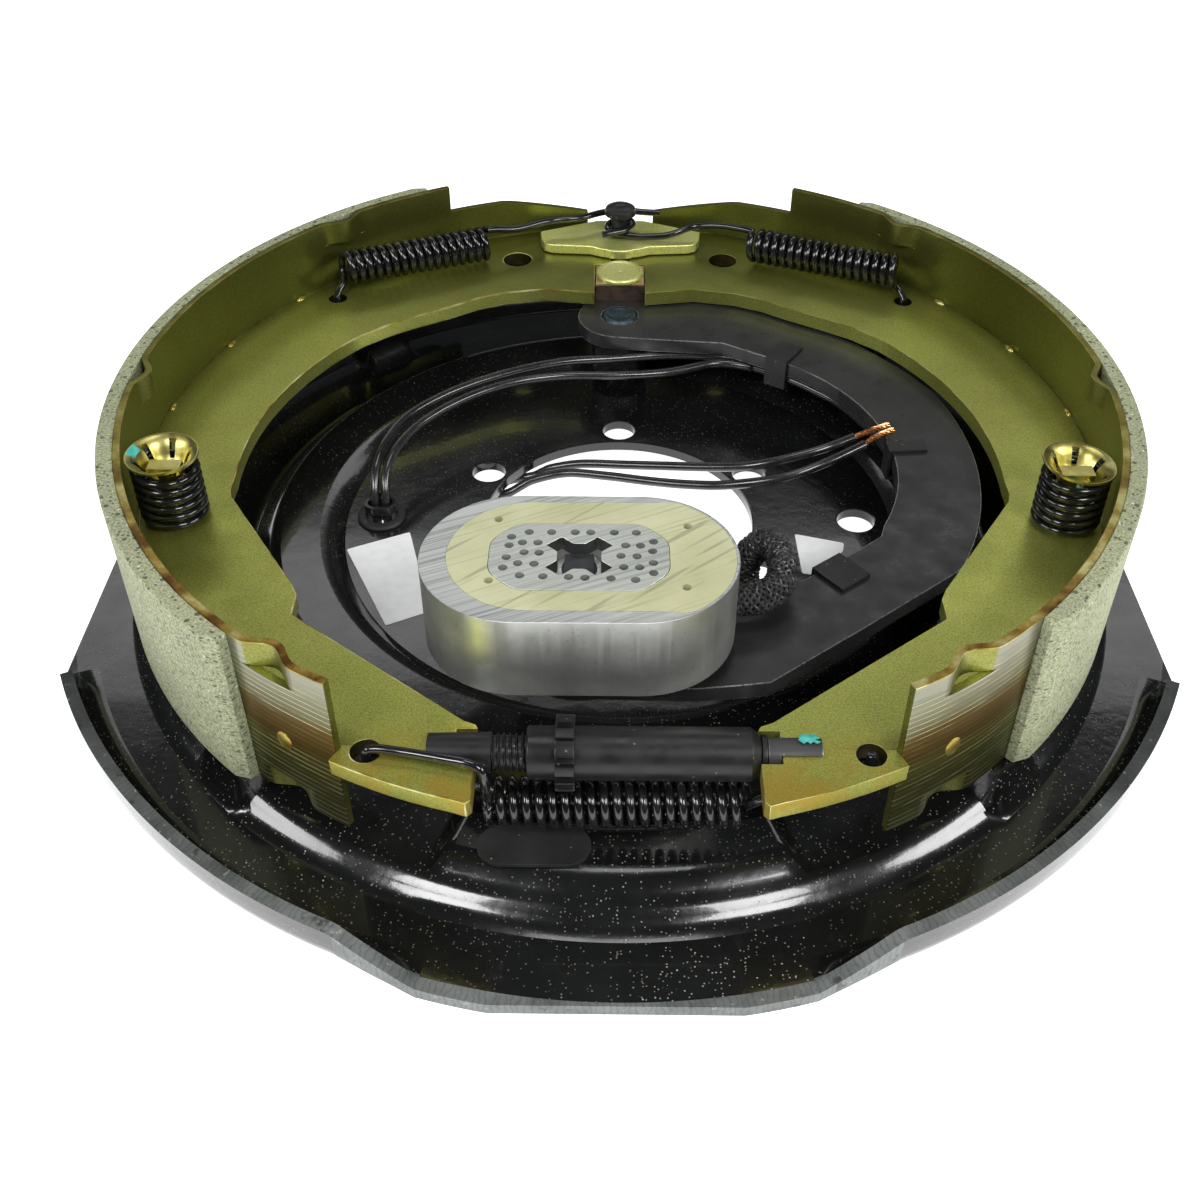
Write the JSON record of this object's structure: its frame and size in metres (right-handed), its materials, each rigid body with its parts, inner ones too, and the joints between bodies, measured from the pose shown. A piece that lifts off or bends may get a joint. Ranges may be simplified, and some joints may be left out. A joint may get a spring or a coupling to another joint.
{
  "type": "electric trailer drum brake",
  "caption": "Electric drum brake for a trailer wheel: pressed backing plate, lined shoes on an anchor post, lever with electromagnet, adjuster with star wheel and leads.",
  "frame": {"origin": "centre of the spindle hole at the backing plate's mounting face", "axes": "+Z along the axle out towards the wheel, +Y to the anchor post, +X to the primary shoe"},
  "size_m": [0.327, 0.3487, 0.0674],
  "materials": {
    "plate_paint": "gloss black paint",
    "black_steel": "black oxide",
    "yellow_zinc": "yellow zinc plate",
    "gold_zinc": "gold zinc plate",
    "bare_steel": "bare steel",
    "copper_zinc": "dull sintered block",
    "spring_black": "black spring steel",
    "friction_lining": "moulded grey-green lining",
    "resin": "cast cream resin",
    "copper": "copper wire",
    "rubber_black": "black rubber",
    "black_insulation": "black wire insulation",
    "braid": "black woven sleeve",
    "label_white": "blank white paper"
  },
  "bodies": {
    "backing": {"backing_plate": "plate_paint", "anchor_post": "black_steel", "anchor_guide_plate": "yellow_zinc", "lever_pivot_pin": "bare_steel", "hold_down_pins": "gold_zinc", "adjuster_slot_plug": "rubber_black", "lead_grommet": "rubber_black", "cable_tie": "black_insulation", "label_left": "label_white", "label_right": "label_white", "span_leads": "black_insulation", "free_lead_a": "black_insulation", "free_lead_b": "black_insulation", "bare_end_a": "copper", "bare_end_b": "copper", "primary_hold_cup": "gold_zinc", "primary_hold_spring": "spring_black", "secondary_hold_cup": "gold_zinc", "secondary_hold_spring": "spring_black", "primary_return_spring": "spring_black", "secondary_return_spring": "spring_black", "adjuster_spring": "spring_black"},
    "lever": {"lever_arm": "black_steel", "lead_clip_upper": "black_steel", "lead_clip_middle": "black_steel", "lead_clip_lower": "black_steel", "magnet_post": "bare_steel", "magnet_retainer": "black_steel", "arm_leads": "black_insulation", "braided_sleeve": "braid", "magnet_spring": "bare_steel"},
    "block": {"actuating_block": "copper_zinc", "block_stud": "gold_zinc"},
    "magnet": {"magnet_case": "bare_steel", "magnet_core": "bare_steel", "magnet_potting": "resin", "magnet_coil": "copper"},
    "primary_shoe": {"primary_web": "yellow_zinc", "primary_rim": "yellow_zinc", "primary_lining": "friction_lining"},
    "secondary_shoe": {"secondary_web": "yellow_zinc", "secondary_rim": "yellow_zinc", "secondary_lining": "friction_lining"},
    "socket": {"adjuster_socket": "black_steel"},
    "washer": {"thrust_washer": "bare_steel"},
    "sleeve": {"adjuster_sleeve": "black_steel"},
    "screw": {"adjuster_screw": "black_steel"}
  },
  "joints": [
    {"name": "lever_swing", "type": "hinge", "parent": "backing", "child": "lever", "pos_m": [0, 0.0874, 0.0257], "axis": [0, 0, 1], "range_deg": [-8, 0], "stiffness_Nm_per_rad": 12, "springref_deg": 5.73, "deforming": ["span_leads"]},
    {"name": "block_turn", "type": "hinge", "parent": "lever", "child": "block", "pos_m": [0, 0.105, 0.0317], "axis": [0, 0, 1], "range_deg": [0, 8]},
    {"name": "magnet_float", "type": "slide", "parent": "lever", "child": "magnet", "axis": [0, 0, 1], "range_m": [-0.003, 0], "stiffness_N_per_m": 3000, "springref_m": 0.01, "deforming": ["magnet_spring", "braided_sleeve"]},
    {"name": "star_wheel_turn", "type": "hinge", "parent": "washer", "child": "sleeve", "pos_m": [0.006, -0.128, 0.0315], "axis": [1, 0, 0], "range_deg": [-375, 735]},
    {"name": "socket_swing", "type": "hinge", "parent": "backing", "child": "socket", "pos_m": [0, 0.133, 0.0315], "axis": [0, 0, 1], "range_deg": [-0.1646, 0.3292]},
    {"name": "washer_align", "type": "hinge", "parent": "socket", "child": "washer", "pos_m": [0.0393, -0.128, 0.0315], "axis": [0, 0, 1], "range_deg": [-0.3393, 0.1746]},
    {"name": "secondary_shoe_swing", "type": "hinge", "parent": "backing", "child": "secondary_shoe", "pos_m": [0, 0.133, 0.0315], "axis": [0, 0, 1], "range_deg": [-0.3393, 0.1746], "deforming": ["secondary_return_spring"]},
    {"name": "screw_align", "type": "hinge", "parent": "secondary_shoe", "child": "screw", "pos_m": [-0.0393, -0.128, 0.0315], "axis": [0, 0, 1], "range_deg": [-0.1746, 0.3393], "deforming": ["adjuster_spring"]},
    {"name": "primary_shoe_swing", "type": "hinge", "parent": "socket", "child": "primary_shoe", "pos_m": [0.0393, -0.128, 0.0315], "axis": [0, 0, 1], "range_deg": [-0.62, 0.01], "deforming": ["primary_return_spring"]}
  ],
  "couplings": [
    {"joint": "block_turn", "follows": "lever_swing", "ratio": -1},
    {"joint": "primary_shoe_swing", "follows": "lever_swing", "ratio": 0.0756},
    {"joint": "star_wheel_turn", "follows": "socket_swing", "ratio": 2186.6},
    {"joint": "washer_align", "follows": "socket_swing", "ratio": -1},
    {"joint": "secondary_shoe_swing", "follows": "socket_swing", "ratio": -1},
    {"joint": "screw_align", "follows": "socket_swing", "ratio": 1}
  ]
}
